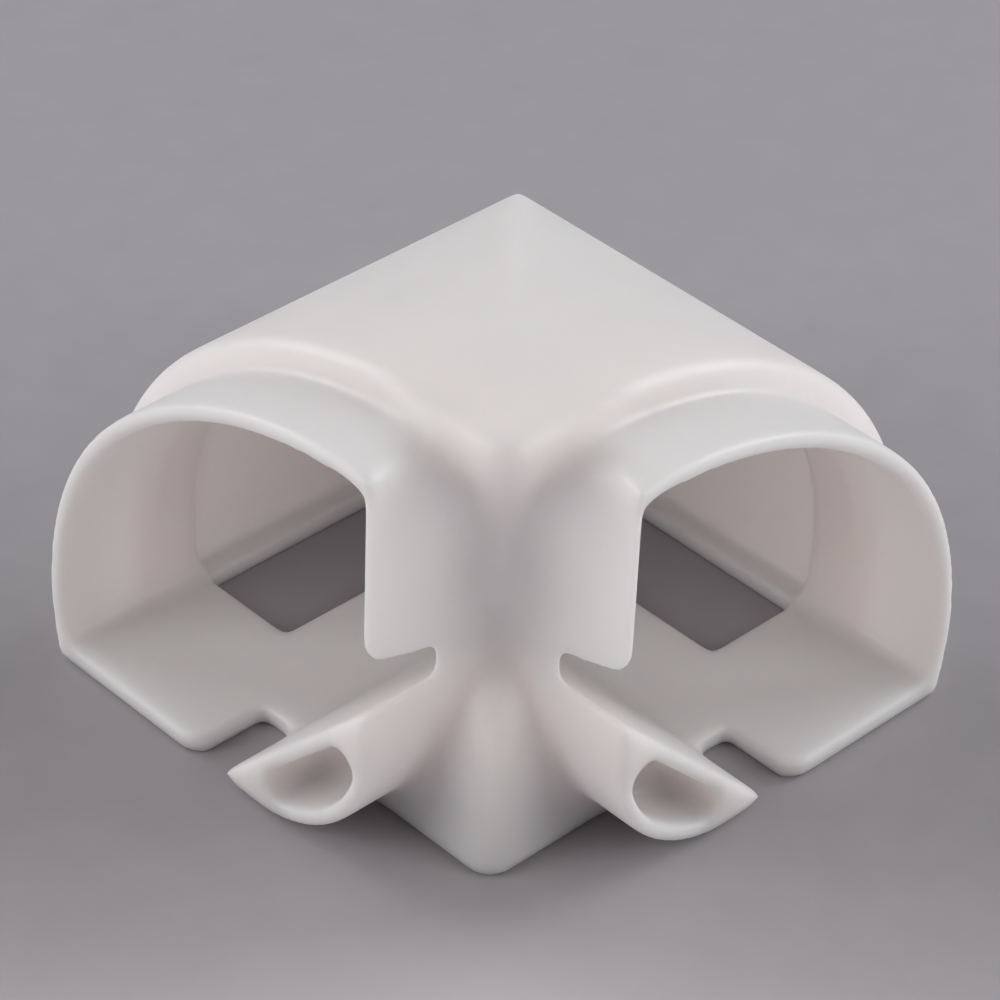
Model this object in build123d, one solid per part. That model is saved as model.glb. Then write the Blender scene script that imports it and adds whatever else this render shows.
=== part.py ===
from build123d import *
import math
import os

os.makedirs("parts", exist_ok=True)

# Corner connector for a hollow quarter-round profile, moulded in one piece.
# Everything is drawn from the outer corner: one arm runs along +X, the other
# along +Y, and the two are mirror images across the upright plane X = Y.
# A section is drawn looking along its arm: u is the distance from the outer
# corner's wall, z is the height.

# Driving sizes, in millimetres
spigot_width = 30.0         # outer corner to the inner wall of a hood
spigot_height = 31.0        # floor to the crown of a hood
crown_flat = 2.0            # level strip between the vault and the inner wall
spring_height = 5.5         # height where the vault bulges furthest out
bulge = 0.66                # how far that is past the vault's foot
wall = 1.4                  # thickness of the vaults' linings and of the core's walls
web = 0.9                   # thickness of a hood's upright inner wall
floor_thickness = 1.4       # thickness of the bottom plates
skin = 1.8                  # the body stands this far outside the hoods
post_depth = 5.0            # the corner post stands this far out from the inner walls
arm_length = 5.8            # the arms stand this far out from the body
lining_length = 12.4        # a hood's lining, measured in from the open end
lining_round = 1.5          # radius inside a hood, where its outer wall meets the floor
relief_length = 7.2         # the hoods' walls are thinner this far in from the open end
relief = 0.2                # how much thinner they are there
opening_lip = 1.5           # floor left along the foot of the outer walls
opening_width = 9.3         # the bottom is open from there to this far in
tongue_width = 14.1         # floor tongue under a hood's outer wall
tongue_round = 1.6          # corner radius of that tongue
hood_sill = 15.6            # height where a hood's inner wall ends, at the body
sill_rise = 1.8             # that much higher at the open end of the arm
sill_round = 2.4            # radius at the lower end of that wall
channel_radius = 10.5       # outer radius of the half-moon channel
channel_depth = 5.55        # thickness of the half moon behind its 45 degree face
cup_wall = 1.1              # wall of the cup in the channel's open end
cup_depth = 4.4             # how far the cup goes in
cup_round = 1.2             # radius in the corners of the cup's opening
cup_floor_round = 1.0       # radius round the cup's floor
foot_height = 5.0           # corner post: top of the upright foot
waist_low = 12.0            # corner post: lower end of the slim stretch
waist_high = 21.5           # corner post: upper end of the slim stretch
nose_height = 31.0          # corner post: full size again from here up
valley_round = 2.2          # radius where the two inner walls meet
keel_round = 1.8            # radius of the post's upright edge
waist_blend = 6.0           # blend radius into the slim stretch
post_blend = 4.0            # blend radius out to the foot and the nose
core_height = 7.4           # hollow under the corner post, behind its slim stretch
core_low = 3.6              # height of that hollow further out, in the post's foot
step_round = 1.4            # radius along the outer edge of the end step

# Sizes that follow from those; a reach is measured from the outer corner
body_reach = spigot_width + post_depth
arm_reach = body_reach + arm_length
lining_start = arm_reach - lining_length
relief_start = arm_reach - relief_length
across = math.sqrt(2)
vault_rise = spigot_height - spring_height
vault_span = spigot_width - crown_flat
vault_reach = vault_span + bulge
radii_apart = (vault_reach - vault_rise) / (across - 1)
crown_radius = vault_rise + radii_apart / across
side_radius = vault_reach - radii_apart / across
body_top = spigot_height + skin
widest = bulge + skin
centre = (arm_reach - widest) / 2
channel_chord = spigot_width - 2 * channel_radius + across * (channel_radius - channel_depth)
over = 5.0                  # cutters run this far past what they cut
same = 0.01                 # places nearer than this are one place

mitre = Plane(origin=(0, 0, 0), z_dir=(1, -1, 0))
low_corner = (Align.MIN, Align.MIN, Align.MIN)


def vault_section(grow, right):
    """Quarter-round outline, grown outwards by grow and closed at u = right.

    Two arcs make the vault. They meet half way round, where both run at 45 degrees.
    """
    below = math.degrees(math.asin(spring_height / (side_radius + grow)))
    crown_arc = CenterArc(
        (vault_span, spigot_height - crown_radius), crown_radius + grow, 90, 45
    )
    side_arc = CenterArc(
        (side_radius - bulge, spring_height), side_radius + grow, 135, 45 + below
    )
    crown, foot = crown_arc @ 0, side_arc @ 1
    rest = Polyline(foot, (right, foot.Y), (right, crown.Y), crown)
    return make_face(Wire([crown_arc, side_arc, *rest.edges()]))


def run_along_x(section, start, end):
    """Bar with a (u, z) section, from X = start to X = end."""
    return Pos(start, 0, 0) * extrude(Plane.YZ * section, end - start)


def both_arms(bar):
    """A bar along X and its mirror image along Y."""
    return bar + mirror(bar, about=mitre)


def square_block(section, end):
    """What two mirrored bars share: a mitred corner with a square plan."""
    bar = run_along_x(section, -over, end)
    return bar & mirror(bar, about=mitre)


def bends_at(face, x):
    """Corners of an upright profile at X = x, without its bottom and top ends."""
    return face.vertices().filter_by(
        lambda v: abs(v.X - x) < same < min(v.Y, body_top - v.Y)
    )


def post_profile(full, slim, inside):
    """Upright profile of the corner post, slim between its foot and its nose."""
    outline = Polyline(
        (inside, 0), (full, 0), (full, foot_height), (slim, waist_low),
        (slim, waist_high), (full, nose_height), (full, body_top), (inside, body_top),
        close=True,
    )
    face = make_face(outline)
    face = fillet(bends_at(face, slim), waist_blend)
    return fillet(bends_at(face, full), post_blend)


def is_diagonal(edge):
    """True for an edge that lies in the mitre plane, at both ends and half way."""
    return all(abs(at.X - at.Y) < same for at in (edge @ 0, edge @ 0.5, edge @ 1))


def corner_post():
    """Square post in the inner corner, with a slim waist half way up."""
    inside = spigot_width - web
    side = post_profile(body_reach, spigot_width, inside - over)
    bar = extrude(Plane.XZ * side, -(body_reach + over))
    post = bar & mirror(bar, about=mitre)
    keel = post.edges().filter_by(is_diagonal).filter_by(lambda e: e.center().X > inside)
    keep = Pos(inside, inside, 0) * Box(2 * over, 2 * over, body_top, align=low_corner)
    return fillet(keel, keel_round) & keep


def valley_fill():
    """Upright fillet where the two inner walls meet."""
    inside = spigot_width - web / 2
    size = spigot_width + valley_round - inside
    square = Pos(inside, inside) * Rectangle(size, size, align=(Align.MIN, Align.MIN))
    turn = spigot_width + valley_round
    return extrude(square - Pos(turn, turn) * Circle(valley_round), body_top)


def body_block():
    """Square vaulted corner, its two end steps rounded along the top."""
    bar = run_along_x(vault_section(skin, body_reach), -over, body_reach)
    end = bar.faces().sort_by(Axis.X)[-1]
    rim = end.edges().filter_by(
        lambda e: e.center().Z > same and e.center().Y < body_reach - same
    )
    bar = fillet(rim, step_round)
    return bar & mirror(bar, about=mitre)


def body_outside():
    """Vaulted corner with its post, before it is hollowed."""
    block = body_block()
    recess = Pos(spigot_width, spigot_width, -over) * Box(
        2 * over, 2 * over, body_top + 2 * over, align=low_corner
    )
    return block - recess + ((corner_post() + valley_fill()) & block)


def chord_wedge(offset, end):
    """Everything under the 45 degree chord face, pushed down by offset."""
    foot = channel_chord + offset * across
    wedge = Polyline(
        (foot - over, -over), (end, -over), (end, end - foot), close=True
    )
    return make_face(wedge)


def chord_block(offset, end):
    """Corner block under both chord faces, square in plan up to end."""
    return square_block(chord_wedge(offset, end), end)


def segment_section(inset):
    """Half-moon section of the channel, its outline moved in by inset."""
    disc = Pos(spigot_width - channel_radius, channel_radius) * Circle(
        channel_radius - inset
    )
    return disc & chord_wedge(inset, spigot_width + over)


def channel():
    """Half-moon leg under a hood, with a blind cup in its open end."""
    outside = run_along_x(segment_section(0), body_reach - wall, arm_reach)
    opening = segment_section(cup_wall)
    opening = fillet(opening.vertices(), cup_round)
    hollow = run_along_x(opening, arm_reach - cup_depth, arm_reach + over)
    cup_floor = hollow.faces().sort_by(Axis.X)[0]
    return outside - fillet(cup_floor.edges(), cup_floor_round)


def round_off(radius):
    """Trim for a corner at the origin that points towards +x and +y."""
    size = radius + over
    square = Pos(-radius, -radius) * Rectangle(size, size, align=(Align.MIN, Align.MIN))
    return square - Pos(-radius, -radius) * Circle(radius)


def under_sill():
    """What is cut away below a hood's inner wall, whose lower end is rounded."""
    side = Polyline(
        (lining_start, -over), (body_reach, -over), (body_reach, hood_sill),
        (arm_reach, hood_sill + sill_rise), (arm_reach, body_top), (lining_start, body_top),
        close=True,
    )
    side = make_face(side)
    low_end = side.vertices().filter_by(lambda v: v.X > body_reach + same).sort_by(Axis.Y)[0]
    kept = extrude(Plane.XZ * fillet(low_end, sill_round), -(spigot_width + over))
    reach = arm_reach + over - lining_start
    slab = Pos(lining_start, tongue_width, -over) * Box(
        reach, spigot_width, body_top + over, align=low_corner
    )
    return slab - kept


def hood():
    """Outside of a hood, from inside the body to the open end of its arm."""
    bar = run_along_x(vault_section(0, spigot_width), lining_start, arm_reach)
    tongue_end = extrude(round_off(tongue_round), hood_sill)
    return bar - under_sill() - Pos(arm_reach, tongue_width, 0) * tongue_end


def floor_window():
    """L-shaped opening in the floor, inside the two outer walls."""
    window = Box(arm_reach, arm_reach, floor_thickness, align=low_corner)
    return Pos(opening_lip, opening_lip, 0) * window - (
        Pos(opening_width, opening_width, 0) * window
    )


def corner_hollow():
    """Hollow under the roof, between the two hoods' linings."""
    corner = square_block(vault_section(0, arm_reach), arm_reach)
    inside = vault_section(0, spigot_width - web)
    bar = run_along_x(inside, -over, lining_start) & corner
    floor = Box(
        4 * arm_reach, 4 * arm_reach, floor_thickness,
        align=(Align.CENTER, Align.CENTER, Align.MIN),
    )
    return both_arms(bar) - (floor - floor_window())


def lining_section(thinner):
    """Section of a hood's hollow above its floor, with a rounded foot."""
    section = vault_section(thinner - wall, spigot_width - web + thinner)
    size = spigot_height + over
    section = section & Pos(-over, floor_thickness) * Rectangle(
        2 * size, size, align=(Align.MIN, Align.MIN)
    )
    foot = section.vertices().sort_by(lambda v: v.X + v.Y)[0]
    return fillet(foot, lining_round)


def hood_hollow():
    """Hollow of one hood, a little wider from the relief to its open end."""
    lining = run_along_x(lining_section(0), lining_start, arm_reach + over)
    return lining + run_along_x(lining_section(relief), relief_start, arm_reach + over)


def core_step(reach, height):
    """Part of the pocket under the chord faces, up to a reach and a height."""
    top = Box(
        4 * body_reach, 4 * body_reach, height,
        align=(Align.CENTER, Align.CENTER, Align.MIN),
    )
    return chord_block(wall, reach) & top


def foot_core():
    """Pocket open to the floor, lower where the post's foot spreads."""
    return core_step(spigot_width + wall, core_height) + core_step(body_reach - wall, core_low)


outside = body_outside() + both_arms(hood())
hollow = corner_hollow() + both_arms(hood_hollow())
hollow = hollow - chord_block(0, body_reach + over)
shape = outside - hollow - foot_core() + both_arms(channel())
shape = Pos(-centre, -centre, 0) * shape
export_step(shape, "parts/corner_connector.step")
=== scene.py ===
# %% [markdown]
# A corner connector for a hollow quarter-round profile, moulded in one piece of
# warm white plastic. This file dresses it for a studio photograph, one step at a
# time. Every length is in metres, in the part's own frame: one arm runs along +X,
# the other along +Y, and the floor is at Z = 0.

import math

import bpy
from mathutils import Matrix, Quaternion, Vector


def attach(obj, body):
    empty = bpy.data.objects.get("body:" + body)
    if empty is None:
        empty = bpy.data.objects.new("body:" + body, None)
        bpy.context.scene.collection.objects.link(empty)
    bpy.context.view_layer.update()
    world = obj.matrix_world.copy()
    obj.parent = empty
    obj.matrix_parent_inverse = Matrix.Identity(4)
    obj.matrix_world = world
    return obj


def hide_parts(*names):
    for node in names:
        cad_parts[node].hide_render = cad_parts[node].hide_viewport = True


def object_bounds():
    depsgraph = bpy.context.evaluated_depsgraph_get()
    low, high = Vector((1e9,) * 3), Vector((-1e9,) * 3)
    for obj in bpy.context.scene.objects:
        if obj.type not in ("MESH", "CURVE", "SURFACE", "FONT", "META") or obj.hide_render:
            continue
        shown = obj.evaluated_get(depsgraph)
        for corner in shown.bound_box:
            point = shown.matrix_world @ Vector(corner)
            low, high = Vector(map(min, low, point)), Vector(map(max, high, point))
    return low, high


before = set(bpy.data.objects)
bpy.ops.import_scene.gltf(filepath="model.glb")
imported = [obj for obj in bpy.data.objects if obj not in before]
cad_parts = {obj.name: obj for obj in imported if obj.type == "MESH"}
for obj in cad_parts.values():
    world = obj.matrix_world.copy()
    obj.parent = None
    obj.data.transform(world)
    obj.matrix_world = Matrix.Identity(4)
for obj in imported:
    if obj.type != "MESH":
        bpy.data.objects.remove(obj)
part_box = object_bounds()
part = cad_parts["corner_connector"]
MM = 0.001


def in_mm(box):
    """A box's two corners in millimetres, to print them."""
    return [tuple(round(c / MM, 2) for c in corner) for corner in box]


print("part box in mm:", in_mm(part_box))

# %% [markdown]
# The camera comes first. It looks down at 37 degrees onto the inner corner, from a
# quarter of a metre away, through a long lens, so the two arms spread only a
# little. It leans by two degrees.

# %% Camera
AIM = Vector((0.8375, 0.8375, 12.0)) * MM
DISTANCE = 254.7 * MM
AZIMUTH = math.radians(45.17)
ELEVATION = math.radians(37.01)
LEAN = math.radians(2.38)
ASIDE = Vector((-0.255, 1.465)) * MM
LENS = 144.0                 # focal length and sensor width, in millimetres
SENSOR_WIDTH = 36.0


def direction(azimuth, elevation):
    """Unit vector away from the origin, for two angles in radians."""
    level = math.cos(elevation)
    return Vector((math.cos(azimuth) * level, math.sin(azimuth) * level, math.sin(elevation)))


away = direction(AZIMUTH, ELEVATION)
camera_data = bpy.data.cameras.new("studio_camera")
camera = bpy.data.objects.new("studio_camera", camera_data)
bpy.context.scene.collection.objects.link(camera)
camera.rotation_mode = "QUATERNION"
camera.rotation_quaternion = (-away).to_track_quat("-Z", "Y") @ Quaternion((0, 0, 1), LEAN)
sideways = camera.rotation_quaternion @ Vector((1, 0, 0))
upwards = camera.rotation_quaternion @ Vector((0, 1, 0))
camera.location = AIM + away * DISTANCE + sideways * ASIDE.x + upwards * ASIDE.y
camera_data.lens = LENS
camera_data.sensor_width = SENSOR_WIDTH
camera_data.clip_start = 0.01
camera_data.clip_end = 10.0
bpy.context.scene.camera = camera
print("camera at", tuple(round(c, 4) for c in camera.location))

# %% [markdown]
# The moulding itself. A CAD solid has razor edges, and no moulding has those: the
# tool's corners are eased by a few tenths of a millimetre, and every edge catches
# a soft line of light. A Bevel modifier could do that on clean faces, but where
# vaults, legs and post run into one another its bevels collide. So a copy of the
# part's mesh is rebuilt from small cubes by the Remesh modifier, and then
# smoothed. Smoothing eases outer edges and fills inner corners alike, as the
# tool does. The part's own mesh is left as it is.

# %% A copy of the part's mesh, merged into one skin
SAME_POINT = 0.001 * MM

moulding = bpy.data.objects.new("corner_moulding", part.data.copy())
moulding.data.name = "corner_moulding"
bpy.context.scene.collection.objects.link(moulding)
bpy.ops.object.select_all(action="DESELECT")
bpy.context.view_layer.objects.active = moulding
moulding.select_set(True)
bpy.ops.object.mode_set(mode="EDIT")
bpy.ops.mesh.select_all(action="SELECT")
bpy.ops.mesh.remove_doubles(threshold=SAME_POINT)
bpy.ops.object.mode_set(mode="OBJECT")
print("merged skin:", len(moulding.data.vertices), "points")

# %% The skin rebuilt from small cubes
CUBE = 0.25 * MM


def apply_modifier(piece, kind, **settings):
    """Adds one modifier to a piece, sets it up and applies it."""
    modifier = piece.modifiers.new(kind.lower(), kind)
    for setting, value in settings.items():
        setattr(modifier, setting, value)
    bpy.context.view_layer.objects.active = piece
    bpy.ops.object.modifier_apply(modifier=modifier.name)


apply_modifier(moulding, "REMESH", mode="VOXEL", voxel_size=CUBE)
print("rebuilt skin:", len(moulding.data.vertices), "points")

# %% [markdown]
# Four places of the real moulding are rounder than an even easing makes them. Each
# could be cut with its own Bevel, but they run into one another, so each is a small
# function that says where a point goes. It works by a share that ramps smoothly
# from 0 to 1, so that no place has a hard limit.

# The corner between a hood's level crown and its upright inner wall is rounder
# than the rest. Every point beyond the middle of that round is drawn in along its
# own ray, by as much as turns a square corner into a round one. The hood's inside
# is drawn in by the same share, so its wall keeps its thickness. Towards the open
# end the round fades, because the rim's corner is nearly sharp. The valley between
# the two inner walls is rounded in the same way, from the other side.

# The nose, where the roof comes down into the inner corner, is a slanting face
# across the corner, from one arm's end step to the other's. Points that stand out
# further are drawn back onto it. The post's foot, below, stands upright for longer,
# so its points move up. A second Remesh then evens out the skin.

# %% Sizes for the shoulders, the valley, the nose and the foot
CROWN = 31.0 * MM            # height of the hoods' crowns
INNER_WALL = 10.83 * MM      # the hoods' inner walls stand here
BODY_END = 15.83 * MM        # the hoods come out of the body here
ARM_END = part_box[1][0]     # the hoods' open ends

SHOULDER = 3.0 * MM          # radius of the hoods' corner
SHOULDER_IN = 0.8 * MM       # it is full this far from the body
SHOULDER_OUT = 2.0 * MM      # from here to the open end it fades
SHOULDER_FADE = 0.8          # by this share

VALLEY = 5.0 * MM            # radius of the valley between the inner walls
VALLEY_FOOT = (12.0 * MM, 16.0 * MM)                 # it sets in between these heights
VALLEY_SKIN = (VALLEY + 1.2 * MM, VALLEY + 4.0 * MM)  # and fades out inside the part

NOSE_TOP = 21.4 * MM         # how far the nose's face stands out, at its top
NOSE_FOOT = 17.6 * MM        # and at its foot, in the valley
NOSE_FACE = (CROWN - 11.0 * MM, CROWN - 1.0 * MM)    # heights of its foot and top
NOSE_START = (CROWN - 13.0 * MM, CROWN - 11.0 * MM)  # it sets in between these

FOOT_LIFT = 4.0 * MM         # the post's upright foot reaches this much higher
FOOT_BASE = (1.0 * MM, 5.0 * MM)       # the lift sets in between these heights
FOOT_TOP = (13.0 * MM, 21.0 * MM)      # and fades out between these
FOOT_SIDE = (INNER_WALL - 0.3 * MM, INNER_WALL + 0.7 * MM)

# %% Round shoulders, a round valley, a flat nose and a high foot


def ramp(value, start, end):
    """Rises smoothly from 0 at start to 1 at end."""
    share = min(max((value - start) / (end - start), 0.0), 1.0)
    return share * share * (3.0 - 2.0 * share)


def round_shoulder(along, across, height):
    """Where a hood's point goes, as across and height."""
    out = across - (INNER_WALL - SHOULDER)
    up = height - (CROWN - SHOULDER)
    if out <= 0.0 or up <= 0.0:
        return across, height
    fade = SHOULDER_FADE * ramp(along, BODY_END + SHOULDER_OUT, ARM_END)
    share = ramp(along, BODY_END, BODY_END + SHOULDER_IN) * (1.0 - fade)
    pull = 1.0 - share * (1.0 - max(out, up) / math.hypot(out, up))
    return across + out * (pull - 1.0), height + up * (pull - 1.0)


def round_valley(x, y, height):
    """Where a point near the valley goes, as x and y."""
    middle = INNER_WALL + VALLEY
    depth = max(middle - x, middle - y)
    if x >= middle or y >= middle or depth > VALLEY_SKIN[1]:
        return x, y
    share = ramp(height, *VALLEY_FOOT) * (1.0 - ramp(depth, *VALLEY_SKIN))
    pull = 1.0 - share * (1.0 - depth / math.hypot(middle - x, middle - y))
    return middle - (middle - x) * pull, middle - (middle - y) * pull


def flat_nose(x, y, height):
    """Where a point in front of the nose's face goes, as x and y."""
    face = NOSE_FOOT + ramp(height, *NOSE_FACE) * (NOSE_TOP - NOSE_FOOT)
    beyond = max((x + y) / math.sqrt(2) - face, 0.0)
    off_wall = max(min(x, y) - INNER_WALL, 0.0)
    back = min(beyond * ramp(height, *NOSE_START) / math.sqrt(2), off_wall)
    return x - back, y - back


def high_foot(x, y, height):
    """How high a point of the post goes."""
    share = ramp(height, *FOOT_BASE) * (1.0 - ramp(height, *FOOT_TOP))
    return height + FOOT_LIFT * share * ramp(min(x, y), *FOOT_SIDE)


for point in moulding.data.vertices:
    x, y, z = point.co
    if x > y:
        y, z = round_shoulder(x, y, z)
    else:
        x, z = round_shoulder(y, x, z)
    x, y = round_valley(x, y, z)
    x, y = flat_nose(x, y, z)
    point.co = (x, y, high_foot(x, y, z))
apply_modifier(moulding, "REMESH", mode="VOXEL", voxel_size=CUBE)
print("shaped skin:", len(moulding.data.vertices), "points")

# %% [markdown]
# Six places run into one another more softly than the edges do: the post above its
# foot; the valley; the nose; the roots of the two legs; the inner end of each
# hood's lining; and the rims of the open ends. Each gets a vertex group, strongest
# in its middle and fading out, and a Smooth modifier that works in that group
# alone. A place is described by how far a point lies along the nearer arm, across
# it and up, so that one function serves both arms.

# %% Soft places
HALF = 0.5                   # each step moves a point half way to its neighbours' middle
FAINT = 0.01                 # weaker than this counts as nothing
LINING_END = BODY_END - 6.2 * MM       # inner ends of the hoods' linings
POST_MIDDLE = 13.0 * MM      # height of the post's softest stretch


def smooth_place(name, steps, strength_at):
    """Smooths the points where strength_at, a share from 0 to 1, isn't 0."""
    group = moulding.vertex_groups.new(name=name)
    for point in moulding.data.vertices:
        x, y, z = point.co
        strength = strength_at(max(x, y), min(x, y), z)
        if strength > FAINT:
            group.add([point.index], strength, "REPLACE")
    apply_modifier(moulding, "SMOOTH", factor=HALF, iterations=steps, vertex_group=name)


def near_post(along, across, height):
    """All round the post, between the valley and its foot."""
    beside = ramp(across, INNER_WALL - 0.4 * MM, INNER_WALL + 0.2 * MM)
    return beside * (1.0 - ramp(abs(height - POST_MIDDLE), 5.0 * MM, 9.0 * MM))


def near_valley(along, across, height):
    """Along the upright valley, between the nose and the post's foot."""
    beside = math.hypot(along - INNER_WALL - 1.0 * MM, across - INNER_WALL - 1.0 * MM)
    return (1.0 - ramp(beside, 1.5 * MM, 4.5 * MM)) * ramp(height, *VALLEY_FOOT)


def near_nose(along, across, height):
    """Round the point where the roof's crown meets the post's edge."""
    tip = Vector((BODY_END - 2.0 * MM, BODY_END - 2.0 * MM, CROWN))
    away_from_tip = (Vector((along, across, height)) - tip).length
    return 1.0 - ramp(away_from_tip, 4.0 * MM, 9.0 * MM)


def near_root(along, across, height):
    """Round a leg's root, where it comes out of the body's end."""
    beside = 1.0 - ramp(abs(along - BODY_END), 0.6 * MM, 1.8 * MM)
    below = 1.0 - ramp(height, 15.0 * MM, 17.0 * MM)
    return beside * below * ramp(across, 4.0 * MM, 7.0 * MM)


def near_lining_end(along, across, height):
    """Round the inner end of a hood's lining, above its floor."""
    beside = 1.0 - ramp(abs(along - LINING_END), 0.8 * MM, 2.6 * MM)
    inside = 1.0 - ramp(across, INNER_WALL - 3.0 * MM, INNER_WALL - 1.5 * MM)
    return beside * ramp(height, 2.0 * MM, 4.0 * MM) * inside


def near_rim(along, across, height):
    """Along the open end of an arm."""
    return 1.0 - ramp(ARM_END - along, 0.3 * MM, 1.2 * MM)


for name, steps, strength_at in (
    ("post", 150, near_post),
    ("valley", 60, near_valley),
    ("nose", 200, near_nose),
    ("leg_roots", 40, near_root),
    ("lining_ends", 90, near_lining_end),
    ("rims", 20, near_rim),
):
    smooth_place(name, steps, strength_at)
print("soft places:", [group.name for group in moulding.vertex_groups])

# %% Ease all edges, and thin the mesh
EASING_STEPS = 8
MOST_TRIANGLES = 190000


def triangle_count(piece):
    """How many triangles a piece's faces make."""
    return sum(len(face.vertices) - 2 for face in piece.data.polygons)


apply_modifier(moulding, "SMOOTH", factor=HALF, iterations=EASING_STEPS)
kept_share = min(1.0, MOST_TRIANGLES / triangle_count(moulding))
apply_modifier(moulding, "DECIMATE", ratio=kept_share)
bpy.ops.object.select_all(action="DESELECT")
moulding.select_set(True)
bpy.ops.object.shade_smooth()
print("eased skin:", triangle_count(moulding), "triangles")

# %% Keep the skin inside the part's box
low, high = (Vector(corner) for corner in part_box)
moved = 0
for point in moulding.data.vertices:
    inside = Vector(min(max(c, a), b) for c, a, b in zip(point.co, low, high))
    if inside != point.co:
        point.co = inside
        moved += 1
moulding.data.update()
print("points brought back inside the box:", moved)

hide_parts("corner_connector")
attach(moulding, "root")

# %% [markdown]
# The plastic is a warm white with a satin skin, and thin enough to glow a little:
# light that falls on a vault comes through it into the hood. Subsurface scattering
# gives that glow. The finish is not one flat colour either. Seen close, a moulded
# surface has a very fine grain from the spark-eroded tool, its gloss changes
# slowly where the melt cooled at different speeds, and its white drifts a little.
# Two node groups hold these, so that another plastic could use them as well.

# %% Helpers for node groups


def new_group(name, inputs, outputs):
    """A shader node group with a position, float inputs and typed outputs."""
    group = bpy.data.node_groups.new(name, "ShaderNodeTree")
    group.interface.new_socket("Position", in_out="INPUT", socket_type="NodeSocketVector")
    for socket_name, value in inputs.items():
        socket = group.interface.new_socket(
            socket_name, in_out="INPUT", socket_type="NodeSocketFloat"
        )
        socket.default_value = value
    for socket_name, kind in outputs.items():
        group.interface.new_socket(socket_name, in_out="OUTPUT", socket_type=kind)
    entry = group.nodes.new("NodeGroupInput")
    leave = group.nodes.new("NodeGroupOutput")
    return group, entry, leave


def noise(tree, position, scale, detail, roughness=0.5):
    """A noise texture node read at a position socket; scale is spots per metre."""
    node = tree.nodes.new("ShaderNodeTexNoise")
    node.inputs["Scale"].default_value = scale
    node.inputs["Detail"].default_value = detail
    node.inputs["Roughness"].default_value = roughness
    tree.links.new(position, node.inputs["Vector"])
    return node


def arithmetic(tree, operation, *terms):
    """A Math node's result; each term is a number or another node's socket."""
    node = tree.nodes.new("ShaderNodeMath")
    node.operation = operation
    for socket, term in zip(node.inputs, terms):
        if isinstance(term, float):
            socket.default_value = term
        else:
            tree.links.new(term, socket)
    return node.outputs["Value"]


# %% Node group: grain of the tool
grain, entry, leave = new_group(
    "tool_grain", {"Grain Size": 0.00025}, {"Height": "NodeSocketFloat"}
)
SLOW_GRAIN = 900.0
SLOW_SHARE = 0.6             # how much the slower waves add to the fine grain

per_metre = arithmetic(grain, "DIVIDE", 1.0, entry.outputs["Grain Size"])
fine = noise(grain, entry.outputs["Position"], 1.0, 2.0, 0.6)
grain.links.new(per_metre, fine.inputs["Scale"])
slow = noise(grain, entry.outputs["Position"], SLOW_GRAIN, 2.0)
heights = arithmetic(
    grain, "MULTIPLY_ADD", slow.outputs["Fac"], SLOW_SHARE, fine.outputs["Fac"]
)
grain.links.new(heights, leave.inputs["Height"])
print("group", grain.name, "has", len(grain.nodes), "nodes")

# %% Node group: slow drift of tone and gloss
drift, entry, leave = new_group(
    "cooling_drift",
    {"Spread": 0.02, "Gloss Low": 0.36, "Gloss High": 0.48},
    {"Tone": "NodeSocketFloat", "Roughness": "NodeSocketFloat"},
)
CLOUDS = 110.0
FLECKS = 1300.0
GLOSS_PATCHES = 260.0
FLECK_SHARE = 0.3
MEAN = 0.65                  # what clouds and flecks average, taken together
CONTRAST = 25.0              # turns the spread into a contrast

cloud = noise(drift, entry.outputs["Position"], CLOUDS, 3.0)
fleck = noise(drift, entry.outputs["Position"], FLECKS, 3.0)
both = arithmetic(
    drift, "MULTIPLY_ADD", fleck.outputs["Fac"], FLECK_SHARE, cloud.outputs["Fac"]
)
centred = arithmetic(drift, "SUBTRACT", both, MEAN)
contrast = arithmetic(drift, "MULTIPLY", entry.outputs["Spread"], CONTRAST)
tone = arithmetic(drift, "MULTIPLY_ADD", centred, contrast, 0.5)
drift.links.new(tone, leave.inputs["Tone"])

gloss = noise(drift, entry.outputs["Position"], GLOSS_PATCHES, 4.0)
patches = drift.nodes.new("ShaderNodeMapRange")
patches.inputs["From Min"].default_value = 0.3
patches.inputs["From Max"].default_value = 0.7
drift.links.new(gloss.outputs["Fac"], patches.inputs["Value"])
drift.links.new(entry.outputs["Gloss Low"], patches.inputs["To Min"])
drift.links.new(entry.outputs["Gloss High"], patches.inputs["To Max"])
drift.links.new(patches.outputs["Result"], leave.inputs["Roughness"])
print("group", drift.name, "has", len(drift.nodes), "nodes")

# %% The warm white plastic
WARM = (0.88, 0.828, 0.815, 1)
COOL = (0.91, 0.872, 0.862, 1)
GLOW = (1.0, 0.88, 0.82)     # red light goes furthest through the plastic
GLOW_DEPTH = 3.2 * MM
GRAIN_STRENGTH = 0.25
GRAIN_DEPTH = 0.012 * MM

plastic = bpy.data.materials.new("warm_white_plastic")
plastic.use_nodes = True
nodes = plastic.node_tree.nodes
links = plastic.node_tree.links
shader = nodes["Principled BSDF"]
shader.inputs["IOR"].default_value = 1.49
shader.inputs["Subsurface Weight"].default_value = 1.0
shader.inputs["Subsurface Radius"].default_value = GLOW
shader.inputs["Subsurface Scale"].default_value = GLOW_DEPTH

place = nodes.new("ShaderNodeTexCoord")
drift_node = nodes.new("ShaderNodeGroup")
drift_node.node_tree = drift
links.new(place.outputs["Object"], drift_node.inputs["Position"])
white = nodes.new("ShaderNodeMix")
white.data_type = "RGBA"
white.inputs["A"].default_value = WARM
white.inputs["B"].default_value = COOL
links.new(drift_node.outputs["Tone"], white.inputs["Factor"])
links.new(white.outputs["Result"], shader.inputs["Base Color"])
links.new(drift_node.outputs["Roughness"], shader.inputs["Roughness"])

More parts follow.
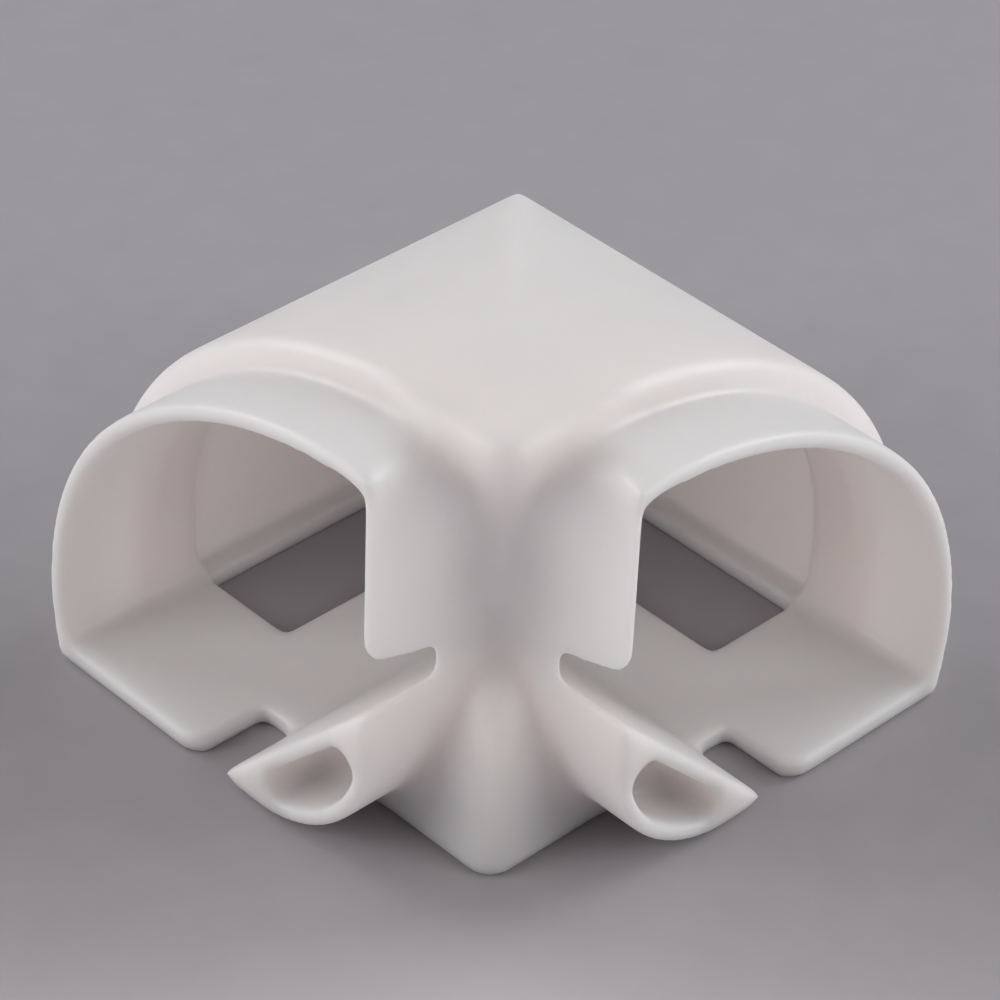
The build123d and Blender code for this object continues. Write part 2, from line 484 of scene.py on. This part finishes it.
grain_node = nodes.new("ShaderNodeGroup")
grain_node.node_tree = grain
links.new(place.outputs["Object"], grain_node.inputs["Position"])
bump = nodes.new("ShaderNodeBump")
bump.inputs["Strength"].default_value = GRAIN_STRENGTH
bump.inputs["Distance"].default_value = GRAIN_DEPTH
links.new(grain_node.outputs["Height"], bump.inputs["Height"])
links.new(bump.outputs["Normal"], shader.inputs["Normal"])

moulding.data.materials.clear()
moulding.data.materials.append(plastic)
print("plastic has", len(nodes), "nodes")

# %% [markdown]
# The floor is a sheet of matt board. It is a mid grey round the part, because a
# white part shows best against it, with a faint mottle so that it does not look
# like nothing at all. Towards the camera, along the diagonal, light is painted
# into it: it fades to a pale grey, a painted pool of light, so that the board round
# the part stays darker as painted shade. A lamp could light the floor there
# instead, but it would also light the post, which has to stay the darkest part.

# %% Floor, with painted light towards the camera
FLOOR_SIZE = 2.0
MATT = 0.8
MOTTLE = 280.0
DARKER_GREY = (0.36, 0.346, 0.371, 1)
LIGHTER_GREY = (0.41, 0.39, 0.417, 1)
# painted light: the pale grey that the board is painted with towards the camera
PAINTED_LIGHT_GREY = (0.88, 0.85, 0.89, 1)
PAINTED_LIGHT_START = 16.0 * MM       # along the diagonal, towards the camera
PAINTED_LIGHT_END = 66.0 * MM

bpy.ops.object.select_all(action="DESELECT")
bpy.ops.mesh.primitive_plane_add(size=FLOOR_SIZE, location=(0, 0, 0))
floor = bpy.context.object
floor.name = "studio_floor"

board = bpy.data.materials.new("grey_board_with_painted_light")
board.use_nodes = True
nodes = board.node_tree.nodes
links = board.node_tree.links
shader = nodes["Principled BSDF"]
shader.inputs["Roughness"].default_value = MATT
place = nodes.new("ShaderNodeTexCoord")
mottle = noise(board.node_tree, place.outputs["Object"], MOTTLE, 3.0)
greys = nodes.new("ShaderNodeMix")
greys.data_type = "RGBA"
greys.inputs["A"].default_value = DARKER_GREY
greys.inputs["B"].default_value = LIGHTER_GREY
links.new(mottle.outputs["Fac"], greys.inputs["Factor"])

along = nodes.new("ShaderNodeVectorMath")
along.operation = "DOT_PRODUCT"
along.inputs[1].default_value = (math.sqrt(0.5), math.sqrt(0.5), 0.0)
links.new(place.outputs["Object"], along.inputs[0])
# painted light: a ramp along the diagonal that paints the board paler towards the camera and
# leaves it darker round the part, as painted shade
fade = nodes.new("ShaderNodeMapRange")
fade.interpolation_type = "SMOOTHSTEP"
fade.inputs["From Min"].default_value = PAINTED_LIGHT_START
fade.inputs["From Max"].default_value = PAINTED_LIGHT_END
links.new(along.outputs["Value"], fade.inputs["Value"])
# painted light: mixes the painted pale grey into the board's mottled grey
painted_light_mix = nodes.new("ShaderNodeMix")
painted_light_mix.data_type = "RGBA"
painted_light_mix.inputs["B"].default_value = PAINTED_LIGHT_GREY
links.new(fade.outputs["Result"], painted_light_mix.inputs["Factor"])
links.new(greys.outputs["Result"], painted_light_mix.inputs["A"])
links.new(painted_light_mix.outputs["Result"], shader.inputs["Base Color"])
floor.data.materials.append(board)
print("board has", len(nodes), "nodes")

# %% [markdown]
# The light comes softly from both sides and from behind, and hardly at all from
# the front. So the roof and the inner walls are bright, and the post, whose front
# the legs shade, is the darkest part. Four large lamps stand round the part at 30
# degrees, the back pair a little cooler than the side pair, with a weak one in
# front. A dim world fills the deepest shadows.

# %% Light
LAMP_SIZE = 0.5
LAMP_DISTANCE = 0.85
SIDE_WHITE = (1.0, 0.97, 0.95)
BACK_WHITE = (0.96, 0.98, 1.0)
AIR = 0.06                   # strength of the world


def soft_box(name, azimuth, elevation, power, color):
    """A square area lamp that faces the part; angles in degrees."""
    lamp_data = bpy.data.lights.new(name, "AREA")
    lamp_data.shape = "SQUARE"
    lamp_data.size = LAMP_SIZE
    lamp_data.energy = power
    lamp_data.color = color
    lamp = bpy.data.objects.new(name, lamp_data)
    bpy.context.scene.collection.objects.link(lamp)
    towards = direction(math.radians(azimuth), math.radians(elevation))
    lamp.location = LAMP_DISTANCE * towards
    lamp.rotation_mode = "QUATERNION"
    lamp.rotation_quaternion = (-towards).to_track_quat("-Z", "Y")


soft_box("lamp_left", -25, 30, 2.9, SIDE_WHITE)
soft_box("lamp_right", 115, 30, 2.3, SIDE_WHITE)
soft_box("lamp_behind_left", -75, 30, 2.9, BACK_WHITE)
soft_box("lamp_behind_right", 165, 30, 3.8, BACK_WHITE)
soft_box("lamp_front", 45, 20, 0.3, SIDE_WHITE)

world = bpy.data.worlds.new("studio_air")
bpy.context.scene.world = world
world.use_nodes = True
world.node_tree.nodes["Background"].inputs["Color"].default_value = (1, 1, 1, 1)
world.node_tree.nodes["Background"].inputs["Strength"].default_value = AIR
bpy.context.scene.view_settings.view_transform = "Standard"
print("lamps:", [lamp.name for lamp in bpy.data.lights])
